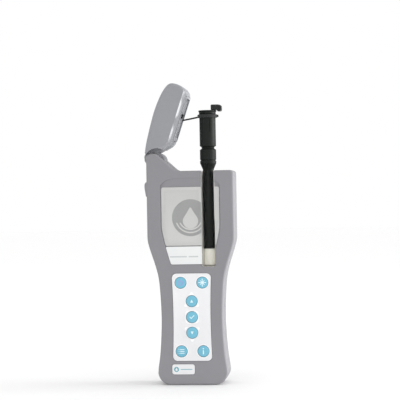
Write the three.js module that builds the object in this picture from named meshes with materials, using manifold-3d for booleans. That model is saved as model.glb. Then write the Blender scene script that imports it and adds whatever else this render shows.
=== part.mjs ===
// Hand-held water quality meter with its pull-out dip probe.
// Millimetres, +Z up, front facing -Y, origin at the centre of the flat foot.
// Stored as it is used: lid open on its stop, dip probe raised out of its well.

import * as THREE from "three";
import { RoundedBoxGeometry } from "three/addons/geometries/RoundedBoxGeometry.js";
import { mergeVertices } from "three/addons/utils/BufferGeometryUtils.js";
import Module from "manifold-3d";

const wasm = await Module();
wasm.setup();

// ---- driving dimensions -------------------------------------------------

const GAP = 0.3; // air between separate pieces

const CASE = {
  depth: 31,
  wall: 2.2,
  edge: 2.4, // rounding of the front and rear edges
  foot: 19, // half the width of the flat foot
  head: 36, // half the width of the head
  deck: 176, // height of the top deck
  parting: 0, // where the front and rear halves meet
};
// Half-width of the grip at each height, from the foot to the shoulder.
const GRIP = [
  [0, 19],
  [2.3, 24.8],
  [7.6, 28.3],
  [13, 28.6],
  [24, 27.1],
  [38, 26],
  [54, 25.4],
  [70, 25.8],
  [87, 27.1],
  [99, 29.9],
  [111, 33.8],
  [119, 35.8],
  [127, 36],
];

const HINGE = { x: -27.3, z: 184.8, pin: 1.5, barrel: 6.4, half: 9, open: 71.5 };
const EAR = { top: 190.7, left: -27.8, right: -11.9, corner: 2.8, slot: 9.4 };
const LID = { rim: 177.2, wall: 2.2, diagonal: 5.3, clear: 10.2 };

const WINDOW = { half: 24.2, top: 162.9, bend: 130, split: 114, bottom: 99.1, foot: 16.5 };
const SCOOP = { top: 170, depth: 1.3 };
const SIGHT = { left: 9, right: 20.2, bottom: 96.9, corner: 1.6 }; // clear-fronted slot over the well
const PANEL = { top: 91.7, bottom: 19.9, half: 16.3, waist: 15.3, corner: 4 };
const PLATE = { left: -17, right: 1.6, bottom: 8.8, top: 17.1, corner: 1.8 };
const INLAY = { recess: 0.6, proud: 0.1, thick: 0.4 }; // thin printed panels let into the front

const KEY = { radius: 4.6, proud: 0.8, flange: 5.6, travel: 0.7 };
const KEYS = {
  key_power: [-9, 84.1],
  key_light: [9, 84.1],
  key_up: [0, 68.9],
  key_enter: [0, 55.8],
  key_down: [0, 43],
  key_program: [-9, 27.8],
  key_info: [9, 27.8],
};

const PROBE = {
  x: 14,
  neck: 6.75, // radius of the upper tube
  stem: 4.6, // radius of the lower tube
  bore: 3.2,
  top: 222.6, // upper end of the tube, probe raised
  taper: [182, 177.5],
  groove: 194.9,
  end: 111.5,
  tip: 97.6,
  lift: 41, // how far the raised probe stands above its seat
};
const WELL = { wall: 1.5, clear: 0.35, floor: 55.4, cheek: 1.2 };

const CELL = { radius: 7.25, length: 50.5, y: 5.5, z: 7.6, xs: [-14.85, -0.15] };
const DOOR = { half: 21.8, bottom: 10.5, top: 64, thick: 1.9 };
const PORT = { z: 161.3, y: -6.9, width: 8.4, height: 3.2 };
const SCREWS = [
  [29.5, 166],
  [-29.5, 147],
  [-29.5, 122],
  [29.5, 122],
  [-17, 76],
];
const BOARD = { front: -10.4, thick: 1.6 };

const HALF_DEPTH = CASE.depth / 2;
const INNER = HALF_DEPTH - CASE.wall;

// ---- solids -------------------------------------------------------------

function toSolid(geometry) {
  const bare = geometry.clone();
  bare.deleteAttribute("normal");
  bare.deleteAttribute("uv");
  const merged = mergeVertices(bare, 1e-4);
  return new wasm.Manifold(
    new wasm.Mesh({
      numProp: 3,
      vertProperties: merged.attributes.position.array,
      triVerts: new Uint32Array(merged.index.array),
    }),
  );
}

function toGeometry(solid) {
  const mesh = solid.getMesh();
  const geometry = new THREE.BufferGeometry();
  geometry.setAttribute("position", new THREE.BufferAttribute(mesh.vertProperties, 3));
  geometry.setIndex(new THREE.BufferAttribute(mesh.triVerts, 1));
  const flat = geometry.toNonIndexed();
  flat.computeVertexNormals();
  return flat;
}

function cut(body, ...tools) {
  return tools.reduce((left, tool) => left.subtract(tool), body);
}

function join(first, ...others) {
  return others.reduce((sum, other) => sum.add(other), first);
}

// ---- primitives in the object's axes --------------------------------------

const point = (x, z) => new THREE.Vector2(x, z);

// An outline in the XZ plane, made solid between two depths, its edges rounded by `edge`.
function slab(outline, front, back, edge = 0, steps = 2) {
  const depth = back - front;
  const geometry = new THREE.ExtrudeGeometry(new THREE.Shape(outline), {
    depth: depth - 2 * edge,
    bevelEnabled: edge > 0,
    bevelThickness: edge,
    bevelSize: edge,
    bevelOffset: -edge,
    bevelSegments: steps,
  });
  geometry.translate(0, 0, edge);
  geometry.rotateX(Math.PI / 2);
  geometry.translate(0, back, 0);
  return toSolid(geometry);
}

function block(x0, x1, y0, y1, z0, z1) {
  const geometry = new THREE.BoxGeometry(x1 - x0, y1 - y0, z1 - z0);
  geometry.translate((x0 + x1) / 2, (y0 + y1) / 2, (z0 + z1) / 2);
  return toSolid(geometry);
}

function softBlock(x0, x1, y0, y1, z0, z1, radius) {
  const geometry = new RoundedBoxGeometry(x1 - x0, y1 - y0, z1 - z0, 1, radius);
  geometry.translate((x0 + x1) / 2, (y0 + y1) / 2, (z0 + z1) / 2);
  return toSolid(geometry);
}

// A round bar along Y, standing at (x, z).
function barY(x, z, radius, y0, y1, sides = 18) {
  const geometry = new THREE.CylinderGeometry(radius, radius, y1 - y0, sides);
  geometry.translate(x, (y0 + y1) / 2, z);
  return toSolid(geometry);
}

function barX(y, z, radius, x0, x1, sides = 14) {
  const geometry = new THREE.CylinderGeometry(radius, radius, x1 - x0, sides);
  geometry.rotateZ(Math.PI / 2);
  geometry.translate((x0 + x1) / 2, y, z);
  return toSolid(geometry);
}

// A turned piece about Z: profile points are [radius, height], from the bottom up.
function turned(profile, sides = 20) {
  const points = profile.map(([radius, height]) => point(radius, height));
  const geometry = new THREE.LatheGeometry(points, sides);
  geometry.rotateX(Math.PI / 2);
  return toSolid(geometry);
}

// Moves each edge of an anticlockwise outline inwards by `distance`.
function inset(outline, distance) {
  const count = outline.length;
  return outline.map((here, i) => {
    const before = outline[(i + count - 1) % count];
    const after = outline[(i + 1) % count];
    const incoming = here.clone().sub(before).normalize();
    const outgoing = after.clone().sub(here).normalize();
    const sum = new THREE.Vector2(-incoming.y - outgoing.y, incoming.x + outgoing.x);
    const scale = (2 * distance) / sum.lengthSq();
    return here.clone().addScaledVector(sum, scale);
  });
}

function arc(x, z, radius, from, to, steps) {
  return Array.from({ length: steps + 1 }, (_, i) => {
    const angle = THREE.MathUtils.degToRad(from + ((to - from) * i) / steps);
    return point(x + radius * Math.cos(angle), z + radius * Math.sin(angle));
  });
}

function roundedRect(x0, x1, z0, z1, radius, steps = 4) {
  return [
    ...arc(x1 - radius, z0 + radius, radius, -90, 0, steps),
    ...arc(x1 - radius, z1 - radius, radius, 0, 90, steps),
    ...arc(x0 + radius, z1 - radius, radius, 90, 180, steps),
    ...arc(x0 + radius, z0 + radius, radius, 180, 270, steps),
  ];
}

// ---- outlines ---------------------------------------------------------------

function gripSide(steps = 17) {
  const curve = new THREE.SplineCurve(GRIP.map(([height, half]) => point(half, height)));
  return curve.getPoints(steps);
}

const mirrored = (points) => points.map((p) => point(-p.x, p.y)).reverse();

// The case seen from the front, with or without the hinge ear on the left.
function caseOutline(withEar = true) {
  const side = gripSide();
  const corner = 2.8;
  const right = arc(CASE.head - corner, CASE.deck - corner, corner, 0, 90, 3);
  const ear = [
    point(EAR.right, CASE.deck),
    point(EAR.left, EAR.top),
    ...arc(-CASE.head + EAR.corner, EAR.top - EAR.corner, EAR.corner, 90, 180, 4),
  ];
  const plain = [point(-CASE.head, CASE.deck)];
  return [...side, ...right, ...(withEar ? ear : plain), ...mirrored(side)];
}

function windowHalf(z) {
  if (z >= WINDOW.bend) return WINDOW.half;
  const down = (WINDOW.bend - z) / (WINDOW.bend - WINDOW.bottom);
  return WINDOW.half - (WINDOW.half - WINDOW.foot) * down ** 1.3;
}

// The display opening between two heights, drawn in by `margin`, with rounded corners.
function windowOutline(low, high, margin, corner) {
  const steps = 6;
  const right = [];
  for (let i = 0; i <= steps; i++) {
    const z = low + corner + ((high - low - 2 * corner) * i) / steps;
    right.push(point(windowHalf(z) - margin, z));
  }
  const foot = point(windowHalf(low + corner) - margin - corner, low);
  const brow = point(windowHalf(high) - margin - corner, high);
  const half = [foot, ...right, brow];
  return [...half, ...mirrored(half)];
}

// The scooped brow above the display runs down into the display opening.
function scoopOutline() {
  const left = point(-WINDOW.half - GAP, WINDOW.top - 6);
  const right = point(WINDOW.half + GAP, WINDOW.top - 6);
  const brow = new THREE.CubicBezierCurve(
    point(WINDOW.half + GAP, WINDOW.top + 1.5),
    point(WINDOW.half - 5, SCOOP.top),
    point(WINDOW.half - 9, SCOOP.top),
    point(0, SCOOP.top),
  ).getPoints(8);
  return [left, right, ...brow, ...mirrored(brow).slice(1)];
}

// The slot through which the probe is seen in its well, from below the label up to `top`.
function sightOutline(top, margin) {
  const { left, right, bottom, corner } = SIGHT;
  const low = bottom + margin;
  return [
    ...arc(right - margin - corner, low + corner, corner, -90, 0, 3),
    point(right - margin, top),
    point(left + margin, top),
    ...arc(left + margin + corner, low + corner, corner, 180, 270, 3),
  ];
}

// The keypad panel is drawn in a little at its waist.
function panelOutline(margin) {
  const middle = (PANEL.top + PANEL.bottom) / 2;
  const box = roundedRect(
    -PANEL.half + margin,
    PANEL.half - margin,
    PANEL.bottom + margin,
    PANEL.top - margin,
    PANEL.corner,
  );
  const waist = (x) => Math.sign(x) * (PANEL.waist - margin);
  const right = [point(waist(1), middle)];
  const left = [point(waist(-1), middle)];
  return [...box.slice(0, 5), ...right, ...box.slice(5, 15), ...left, ...box.slice(15)];
}

// ---- case ---------------------------------------------------------------------

const hingeBar = (radius, y0, y1) => barY(HINGE.x, HINGE.z, radius, y0, y1, 24);

function caseBody() {
  const outer = slab(caseOutline(), -HALF_DEPTH, HALF_DEPTH, CASE.edge);
  const cavity = slab(inset(caseOutline(false), CASE.wall), -INNER, INNER);
  const pocket = join(
    hingeBar(HINGE.barrel + 0.8, -EAR.slot, EAR.slot),
    block(-60, HINGE.x, -EAR.slot, EAR.slot, EAR.top - 12.6, EAR.top + 20),
  );
  const wellHole = turned([
    [0, 150],
    [PROBE.neck + WELL.clear + WELL.wall + GAP, 150],
    [PROBE.neck + WELL.clear + WELL.wall + GAP, CASE.deck - 1],
    [PROBE.neck + WELL.clear + WELL.wall + GAP + 1.2, CASE.deck - 1],
    [PROBE.neck + WELL.clear + WELL.wall + GAP + 1.2, CASE.deck + 5],
    [0, CASE.deck + 5],
  ]).translate([PROBE.x, 0, 0]);
  const pinHole = hingeBar(HINGE.pin + GAP, -HALF_DEPTH + 2, HALF_DEPTH + 1);
  const portHole = block(
    -CASE.head - 1,
    -CASE.head + CASE.wall + 1,
    PORT.y - PORT.height / 2 - 0.7,
    PORT.y + PORT.height / 2 + 0.7,
    PORT.z - PORT.width / 2 - 0.7,
    PORT.z + PORT.width / 2 + 0.7,
  );
  return cut(outer, cavity, pocket, wellHole, pinHole, portHole);
}

function boss([x, z], y0, y1, hole) {
  return cut(barY(x, z, 3, y0, y1, 16), barY(x, z, hole, y0 - 1, y1 + 1, 16));
}

const half = (y0, y1) => block(-60, 60, y0, y1, -10, 260);

function frontCase(body) {
  const face = -HALF_DEPTH;
  const sunk = (outline, depth) => slab(outline, face - 1, face + depth);
  const shell = body.intersect(half(-40, CASE.parting - GAP / 2));
  const keyHoles = Object.values(KEYS).map(([x, z]) => barY(x, z, KEY.radius + 0.35, -20, -10));
  return cut(
    join(shell, ...SCREWS.map((at) => boss(at, -INNER - 0.1, CASE.parting - GAP / 2, 1.5))),
    sunk(scoopOutline(), SCOOP.depth),
    sunk(inset(windowOutline(WINDOW.bottom, WINDOW.top, 0, 1.5), -GAP), SCOOP.depth),
    slab(windowOutline(WINDOW.split + 2, WINDOW.top - 2, 2, 1.5), -20, -10),
    slab(sightOutline(CASE.deck + 4, 0), -20, -4),
    sunk(panelOutline(-GAP), INLAY.recess),
    ...keyHoles,
    sunk(
      roundedRect(
        PLATE.left - GAP,
        PLATE.right + GAP,
        PLATE.bottom - GAP,
        PLATE.top + GAP,
        PLATE.corner + GAP,
      ),
      INLAY.recess,
    ),
  );
}

function rearCase(body) {
  const shell = body.intersect(half(CASE.parting + GAP / 2, 40));
  const bosses = SCREWS.map((at) => boss(at, CASE.parting + GAP / 2, INNER + 0.1, 1.6));
  const heads = SCREWS.map(([x, z]) => barY(x, z, 2.9, HALF_DEPTH - 1.9, HALF_DEPTH + 1, 16));
  const shanks = SCREWS.map(([x, z]) => barY(x, z, 1.6, 0, HALF_DEPTH + 1, 16));
  const doorway = slab(
    roundedRect(
      -DOOR.half - GAP,
      DOOR.half + GAP,
      DOOR.bottom - 0.35,
      DOOR.top + GAP,
      3 + GAP,
    ),
    INNER - 1,
    HALF_DEPTH + 1,
  );
  return cut(join(shell, ...bosses), ...heads, ...shanks, doorway);
}

function caseScrew([x, z]) {
  const head = barY(x, z, 2.6, HALF_DEPTH - 1.6, HALF_DEPTH - 0.2, 16);
  const shank = barY(x, z, 1.2, -6, HALF_DEPTH - 1, 12);
  const slotA = block(x - 1.5, x + 1.5, HALF_DEPTH - 0.8, HALF_DEPTH + 1, z - 0.3, z + 0.3);
  const slotB = block(x - 0.3, x + 0.3, HALF_DEPTH - 0.8, HALF_DEPTH + 1, z - 1.5, z + 1.5);
  return cut(join(head, shank), slotA, slotB);
}

function batteryDoor() {
  const back = HALF_DEPTH - 0.1;
  const leaf = slab(
    roundedRect(-DOOR.half, DOOR.half, DOOR.bottom, DOOR.top, 3),
    back - DOOR.thick,
    back,
    0.4,
    1,
  );
  const thumb = barX(back + 5.2, DOOR.top - 7, 6, -6, 6, 28);
  return cut(leaf, thumb);
}

function portCover() {
  const wall = -CASE.head;
  const low = PORT.z - 6;
  const high = PORT.z + 6;
  const outline = [
    point(wall - GAP, low),
    point(wall - GAP, high),
    point(wall - 1.2, high),
    point(wall - 2.3, high - 2),
    point(wall - 2.3, high - 5),
    point(wall - 1.2, low),
  ];
  const flap = slab(outline, PORT.y - 3.6, PORT.y + 3.6, 0.3, 1);
  const plug = block(
    wall - 1,
    wall + 0.9,
    PORT.y - 1.3,
    PORT.y + 1.3,
    PORT.z - 3.6,
    PORT.z + 3.6,
  );
  return join(flap, plug);
}

// ---- front panels, keys and electronics --------------------------------------------

function inlay(outline) {
  const front = -HALF_DEPTH - INLAY.proud;
  return slab(outline, front, front + INLAY.thick);
}

function keypadOverlay() {
  const holes = Object.values(KEYS).map(([x, z]) => barY(x, z, KEY.radius + 0.35, -20, -10));
  return cut(inlay(panelOutline(0)), ...holes);
}

const plateFront = -HALF_DEPTH + 0.3;
const plate = (outline) => slab(outline, plateFront, plateFront + 0.7);

// The clear plate covers the display and, in a tab above and below it, the sight slot.
function displayWindow() {
  const pane = plate(windowOutline(WINDOW.split + 0.2, WINDOW.top, 0, 1.5));
  return join(pane, plate(sightOutline(CASE.deck - 0.4, GAP)));
}

function displayLabel() {
  const strip = plate(windowOutline(WINDOW.bottom, WINDOW.split - 0.2, 0, 1.5));
  return cut(strip, block(SIGHT.left, 60, -20, 0, 80, 130));
}

// The display glass stands up into the case's opening and stops beside the well.
function lcdModule() {
  const glass = windowOutline(WINDOW.split + 2.4, WINDOW.top - 2.4, 2.4, 1.2);
  return cut(slab(glass, -HALF_DEPTH + 1.4, -10.8, 0.2, 1), block(7.4, 60, -20, 0, 100, 180));
}

// A key cap turned about Z, face up, then laid to face the front.
function keyCap([x, z]) {
  const face = HALF_DEPTH + KEY.proud;
  const inside = INNER - 0.3;
  return turned(
    [
      [0, inside - 0.8],
      [KEY.flange, inside - 0.8],
      [KEY.flange, inside],
      [KEY.radius, inside],
      [KEY.radius, face - 0.7],
      [KEY.radius - 0.3, face - 0.25],
      [KEY.radius - 0.9, face],
      [0, face + 0.1],
    ],
    18,
  )
    .rotate([90, 0, 0])
    .translate([x, 0, z]);
}

function mainBoard() {
  const side = [point(20.5, 14), point(20.5, 80), point(23.6, 90), point(25.5, 112)];
  const right = [...side, point(25.5, 168)];
  const outline = [...right, ...mirrored(right)];
  const board = slab(outline, BOARD.front, BOARD.front + BOARD.thick);
  const clear = WELL.cheek + GAP;
  const slot = block(
    SIGHT.left - clear,
    SIGHT.right + clear,
    -20,
    0,
    SIGHT.bottom - clear - 0.4,
    180,
  );
  const [x, z] = SCREWS[4];
  return cut(board, slot, barY(x, z, 3.4, -20, 0, 16));
}

function keypadMat() {
  const mat = slab(roundedRect(-15, 15, 21, 91, 4), BOARD.front - 0.9, BOARD.front - GAP);
  const [x, z] = SCREWS[4];
  return cut(mat, barY(x, z, 3.6, -20, 0, 16));
}

function usbConnector() {
  const back = BOARD.front + BOARD.thick + 0.2;
  const body = block(-33.4, -24.4, back, back + PORT.height, PORT.z - 4.1, PORT.z + 4.1);
  const mouth = block(-34, -28, back + 0.5, back + PORT.height - 0.5, PORT.z - 3.6, PORT.z + 3.6);
  return cut(body, mouth);
}

// ---- probe well and light sensor ------------------------------------------------------

function probeWell() {
  const wide = PROBE.neck + WELL.clear;
  const narrow = PROBE.stem + WELL.clear;
  const step = PROBE.taper[1] - PROBE.lift - 1;
  const rise = step + 5;
  const sleeve = turned(
    [
      [0, WELL.floor - 2],
      [narrow + WELL.wall, WELL.floor - 2],
      [narrow + WELL.wall, step - 2],
      [wide + WELL.wall, step + 2],
      [wide + WELL.wall, CASE.deck - 0.7],
      [wide + WELL.wall + 1.2, CASE.deck - 0.7],
      [wide + WELL.wall + 1.2, CASE.deck],
      [wide, CASE.deck],
      [wide, rise],
      [narrow, step],
      [narrow, WELL.floor],
      [0, WELL.floor],
    ],
    24,
  ).translate([PROBE.x, 0, 0]);
  const lightHole = barX(0, 66, 2.4, 0, PROBE.x);
  // Two cheeks and a sill carry the open front of the sleeve forward to the case's slot.
  const { left, right, bottom } = SIGHT;
  const front = -INNER + GAP;
  const top = CASE.deck - CASE.wall - GAP;
  const cheeks = cut(
    block(left - WELL.cheek, right + WELL.cheek, front, -1, bottom - WELL.cheek, top),
    block(left, right, front - 1, 0, bottom, top + 1),
  );
  const bore = turned([
    [0, WELL.floor],
    [narrow, WELL.floor],
    [narrow, step],
    [wide, rise],
    [wide, CASE.deck + 1],
    [0, CASE.deck + 1],
  ], 24).translate([PROBE.x, 0, 0]);
  const openFront = block(PROBE.x - narrow, PROBE.x + narrow, -20, -1, bottom, 180);
  return cut(join(sleeve, cheeks), bore, lightHole, openFront);
}

function detectorBlock() {
  const body = softBlock(-3.5, 7.2, -6, 6, 61, 73, 0.8);
  return cut(body, barX(0, 66, 3.3, 1.5, 10));
}

// ---- batteries -------------------------------------------------------------------------------

function batteryCell(x) {
  const { radius, length, z, y } = CELL;
  return turned(
    [
      [0, z],
      [radius - 0.6, z],
      [radius, z + 0.6],
      [radius, z + length - 1.9],
      [radius - 0.7, z + length - 1.2],
      [2.6, z + length - 1.2],
      [2.6, z + length],
      [0, z + length],
    ],
    18,
  ).translate([x, y, 0]);
}

// A coil spring between the cell and the bottom of the bay, drawn as one round wire.
function batterySpring(x) {
  const turns = 3;
  const low = 3.2;
  const high = CELL.z - 0.7;
  class Coil extends THREE.Curve {
    getPoint(t, target = new THREE.Vector3()) {
      const angle = t * turns * 2 * Math.PI;
      const radius = 4.6 - 1.6 * t;
      const height = low + (high - low) * t;
      return target.set(x + radius * Math.cos(angle), CELL.y + radius * Math.sin(angle), height);
    }
  }
  const wire = new THREE.Shape(arc(0, 0, 0.35, 0, 270, 3));
  const coil = new THREE.ExtrudeGeometry(wire, { steps: 28, extrudePath: new Coil() });
  return toSolid(coil);
}

function batteryTray() {
  const floor = block(-21.6, 7.1, -4, -2.6, 4, 59.9);
  const roof = block(-21.6, 7.1, -4, 12.4, 59.9, 60.7);
  return cut(join(floor, roof), barY(...SCREWS[4], 3.4, -20, 20, 16));
}

function batteryContact() {
  return block(CELL.xs[0] - 4, CELL.xs[1] + 4, CELL.y - 3, CELL.y + 3, 58.5, 59.3);
}

// ---- lid, drawn closed, about the hinge ----------------------------------------------------------

// The lid's slanted edge faces the ear: `away` is its distance from the hinge pin.
function onDiagonal(away, z) {
  const slope = new THREE.Vector2(EAR.right - EAR.left, CASE.deck - EAR.top).normalize();
  const normal = point(-slope.y, slope.x);
  return point((away - (z - HINGE.z) * normal.y) / normal.x + HINGE.x, z);
}

function lidOutline() {
  const crown = new THREE.SplineCurve([
    point(34.2, 178.4),
    point(37, 182.6),
    point(37.8, 189),
    point(36.2, 193.9),
    point(31.2, 196.6),
    point(22.9, 198.3),
    point(8.7, 199.1),
    point(-13.9, 197.7),
    point(-24, 196.2),
  ]).getPoints(22);
  const low = onDiagonal(LID.diagonal, LID.rim + 1.6);
  const high = onDiagonal(LID.diagonal, 193);
  return [point(low.x + 3.2, LID.rim), point(31.4, LID.rim), ...crown, high, low];
}

function lidHollow(margin) {
  const left = onDiagonal(LID.diagonal + LID.wall, LID.rim - 4);
  const turn = onDiagonal(LID.diagonal + LID.wall, 183.9);
  return inset(
    [
      left,
      point(31.2, LID.rim - 4),
      point(31.2, LID.rim + 0.8),
      point(34.6, 184),
      point(35.2, 189),
      point(33.8, 192.4),
      point(29.6, 194.6),
      point(22.6, 196),
      point(8.7, 196.8),
      point(turn.x, 195.4),
      turn,
    ],
    margin,
  );
}

// Between the ears the lid reaches round the pin in a barrel and a short tail.
function lidArm() {
  const tail = [
    point(HINGE.x + 3, HINGE.z + 4),
    point(-16.4, 184.5),
    point(-16.4, 196.6),
    point(-24, 196.2),
    point(-27.4, 196.4),
    point(-30.8, 194.9),
    point(-33.6, 191.4),
    point(-33.6, HINGE.z),
    point(HINGE.x, HINGE.z - 2),
  ];
  return join(
    slab(tail, -HINGE.half, HINGE.half, 0.6, 1),
    hingeBar(HINGE.barrel, -HINGE.half, HINGE.half),
  );
}

function lidShell() {
  const dome = slab(lidOutline(), -HALF_DEPTH, HALF_DEPTH, CASE.edge);
  const hollow = slab(lidHollow(0), -INNER, INNER);
  const sweeps = [-1, 1].map((side) => {
    const near = HINGE.half;
    const far = HALF_DEPTH + 1;
    return hingeBar(LID.clear, side > 0 ? near : -far, side > 0 ? far : -near);
  });
  const pinHole = hingeBar(HINGE.pin + GAP, -20, 20);
  return cut(join(cut(dome, hollow, ...sweeps), lidArm()), pinHole);
}

// Where the folded tether lies in the edge of the lid's mouth.
const tetherNotch = () => block(-12, -4, 7.8, 11.6, LID.rim - 8, LID.rim + 3.4);

function lidLiner() {
  const outer = slab(lidHollow(GAP), -INNER + GAP, INNER - GAP);
  const inner = slab(lidHollow(GAP + 1.2), -INNER + GAP + 1.2, INNER - GAP - 1.2);
  const below = block(-60, 60, -20, 20, 150, LID.rim + 0.6);
  return cut(outer, inner, below, tetherNotch());
}

function lidSeal() {
  const outer = slab(lidHollow(GAP), -INNER + GAP, INNER - GAP);
  const inner = slab(lidHollow(GAP + 1.8), -INNER + GAP + 1.8, INNER - GAP - 1.8);
  const layer = block(-60, 60, -20, 20, LID.rim - 0.5, LID.rim + 0.3);
  return cut(outer, inner, tetherNotch()).intersect(layer);
}

// The small post inside the rear of the lid's mouth that the tether is fixed to.
function tetherAnchor() {
  const post = softBlock(12.3, 16, 8.4, 11.3, LID.rim + 0.7, LID.rim + 4.6, 0.5);
  return cut(post, barY(14.1, LID.rim + 2.6, 0.9, 0, 20, 12));
}

// ---- dip probe and tether -----------------------------------------------------------------------------

function probeTube() {
  const { neck, stem, bore, top, taper, groove, end } = PROBE;
  const tube = turned(
    [
      [bore, end],
      [stem + 0.35, end],
      [stem + 0.35, end + 0.8],
      [stem, end + 1.6],
      [stem, taper[1]],
      [neck, taper[0]],
      [neck, 184],
      [neck - 0.5, 184.3],
      [neck - 0.5, 184.9],
      [neck, 185.2],
      [neck, groove - 1.4],
      [neck - 1, groove - 1],
      [neck - 1.6, groove],
      [neck - 1, groove + 1],
      [neck, groove + 1.4],
      [neck, top],
      [bore, top],
      [bore, end],
    ],
    24,
  );
  const upperSlit = block(2, 2.8, -8, -neck + 0.9, 211, 220);
  const lowerSlit = block(-0.4, 0.4, -8, -stem + 0.7, 170, 182);
  return cut(tube, upperSlit, lowerSlit).translate([PROBE.x, 0, 0]);
}

function probeCap() {
  const base = PROBE.top + 0.35;
  const cap = turned([
    [0, base - 4],
    [PROBE.bore - GAP, base - 4],
    [PROBE.bore - GAP, base],
    [7, base],
    [7, base + 1.8],
    [7.5, base + 2.1],
    [7.5, base + 2.8],
    [7.1, base + 3.1],
    [0, base + 3.1],
  ]);
  const dimple = barY(-2.5, base + 0.95, 0.9, -12, -5.4, 12);
  return cut(cap, dimple).translate([PROBE.x, 0, 0]);
}

// A ribbed finger grip on the right of the cap, which reaches out past its rim.
function pullTab() {
  const base = PROBE.top + 3.75;
  const x = PROBE.x;
  const outline = [
    point(x + 3.2, base),
    point(x + 8.1, base),
    point(x + 8.5, base - 1.2),
    point(x + 11.2, base - 1.2),
    point(x + 12, base - 0.2),
    point(x + 12, base + 2.6),
    point(x + 11.2, base + 3.8),
    point(x + 9, base + 4.3),
    point(x + 3.2, base + 4.3),
  ];
  const grip = slab(outline, -4.2, 4.2, 0.5, 1);
  const ribs = [0, 1, 2].map((i) =>
    block(x + 11.5, x + 15, -6, 6, base + i * 1.1 - 0.25, base + i * 1.1 + 0.25),
  );
  return cut(grip, ...ribs);
}

function clearTip() {
  const { tip, end, bore } = PROBE;
  const outer = 4.25;
  const spigot = bore - GAP;
  return turned(
    [
      [0, tip],
      [outer - 1, tip],
      [outer - 0.3, tip + 0.4],
      [outer, tip + 1.2],
      [outer, end - GAP],
      [spigot, end - GAP],
      [spigot, end + 4],
      [spigot - 0.8, end + 4],
      [spigot - 0.8, end - 1.6],
      [outer - 0.9, end - 2.4],
      [outer - 0.9, tip + 1.6],
      [0, tip + 1.2],
    ],
    20,
  ).translate([PROBE.x, 0, 0]);
}

function lightGuide() {
  const low = PROBE.end + 4.4;
  const high = PROBE.top - 4;
  return barZ(PROBE.x, 0, PROBE.bore - 0.5, low, high);
}

function barZ(x, y, radius, z0, z1, sides = 12) {
  const geometry = new THREE.CylinderGeometry(radius, radius, z1 - z0, sides);
  geometry.rotateX(Math.PI / 2);
  geometry.translate(x, y, (z0 + z1) / 2);
  return toSolid(geometry);
}

function tetherBand() {
  const high = PROBE.top;
  const ring = cut(
    barZ(PROBE.x, 0, PROBE.neck + 1.5, high - 2.6, high, 24),
    barZ(PROBE.x, 0, PROBE.neck + 0.35, high - 4, high + 1, 24),
  );
  const lug = softBlock(PROBE.x + 7.4, PROBE.x + 9.2, -1.5, 1.5, high - 2.2, high - 0.3, 0.3);
  return join(ring, lug);
}

// A flat strip from the lid's anchor to the band, a little slack.
function tetherStrap() {
  const route = new THREE.CatmullRomCurve3([
    new THREE.Vector3(-7.6, 9.6, 218.8),
    new THREE.Vector3(-3.2, 8.9, 219.5),
    new THREE.Vector3(2.4, 7.4, 220.4),
    new THREE.Vector3(PROBE.x - 6.9, 5.2, 221.2),
  ]);
  const section = new THREE.Shape(roundedRect(-0.6, 0.6, -1.2, 1.2, 0.4, 2));
  return toSolid(new THREE.ExtrudeGeometry(section, { steps: 10, extrudePath: route }));
}

// ---- finishes ---------------------------------------------------------------------------------------------

const finish = {
  shell: { color: 0x94959a, roughness: 0.6, metalness: 0 },
  liner: { color: 0x77787c, roughness: 0.7, metalness: 0 },
  window: { color: 0xd6d8d6, roughness: 0.15, metalness: 0 },
  lcd: { color: 0xc9cac8, roughness: 0.35, metalness: 0 },
  white: { color: 0xefeff0, roughness: 0.5, metalness: 0 },
  key: { color: 0x82c4da, roughness: 0.5, metalness: 0 },
  rubber: { color: 0x2c2e2d, roughness: 0.8, metalness: 0 },
  board: { color: 0x2b6b44, roughness: 0.5, metalness: 0 },
  black: { color: 0x2f3331, roughness: 0.55, metalness: 0 },
  clear: { color: 0xd9d6c8, roughness: 0.2, metalness: 0 },
  steel: { color: 0xb9bcbf, roughness: 0.35, metalness: 1 },
  cell: { color: 0x3a4a6a, roughness: 0.4, metalness: 0.3 },
};

const meter = new THREE.Group();

// Adds one named piece. `around` is the point its own axes turn about.
function piece(parent, name, solid, look, around = [0, 0, 0]) {
  const [x, y, z] = around;
  const geometry = toGeometry(solid.translate([-x, -y, -z]));
  const mesh = new THREE.Mesh(geometry, new THREE.MeshStandardMaterial(finish[look]));
  mesh.name = name;
  parent.add(mesh);
  if (parent === meter) mesh.position.set(x, y, z);
  return mesh;
}

const body = caseBody();
piece(meter, "front_case", frontCase(body), "shell");
piece(meter, "rear_case", rearCase(body), "shell");
SCREWS.forEach((at, i) => piece(meter, `case_screw_${i + 1}`, caseScrew(at), "steel"));
piece(meter, "hinge_pin", hingeBar(HINGE.pin, -HALF_DEPTH + 2.4, HALF_DEPTH - 0.4), "steel");

piece(meter, "display_window", displayWindow(), "window");
piece(meter, "display_label", displayLabel(), "white");
piece(meter, "lcd_module", lcdModule(), "lcd");
piece(meter, "keypad_overlay", keypadOverlay(), "white");
piece(meter, "keypad_mat", keypadMat(), "rubber");
for (const [name, at] of Object.entries(KEYS)) {
  piece(meter, name, keyCap(at), "key", [at[0], 0, at[1]]);
}
const badge = roundedRect(PLATE.left, PLATE.right, PLATE.bottom, PLATE.top, PLATE.corner);
piece(meter, "name_plate", inlay(badge), "white");

piece(meter, "main_board", mainBoard(), "board");
piece(meter, "buzzer", barY(-12, 146, 6, BOARD.front + BOARD.thick + 0.2, -5.2), "black");
piece(meter, "usb_connector", usbConnector(), "steel");
piece(meter, "port_cover", portCover(), "rubber");

piece(meter, "probe_well", probeWell(), "black");
piece(meter, "detector_block", detectorBlock(), "black");
piece(meter, "photodiode", barX(0, 66, 3, 1.9, 6.9), "steel");

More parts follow.
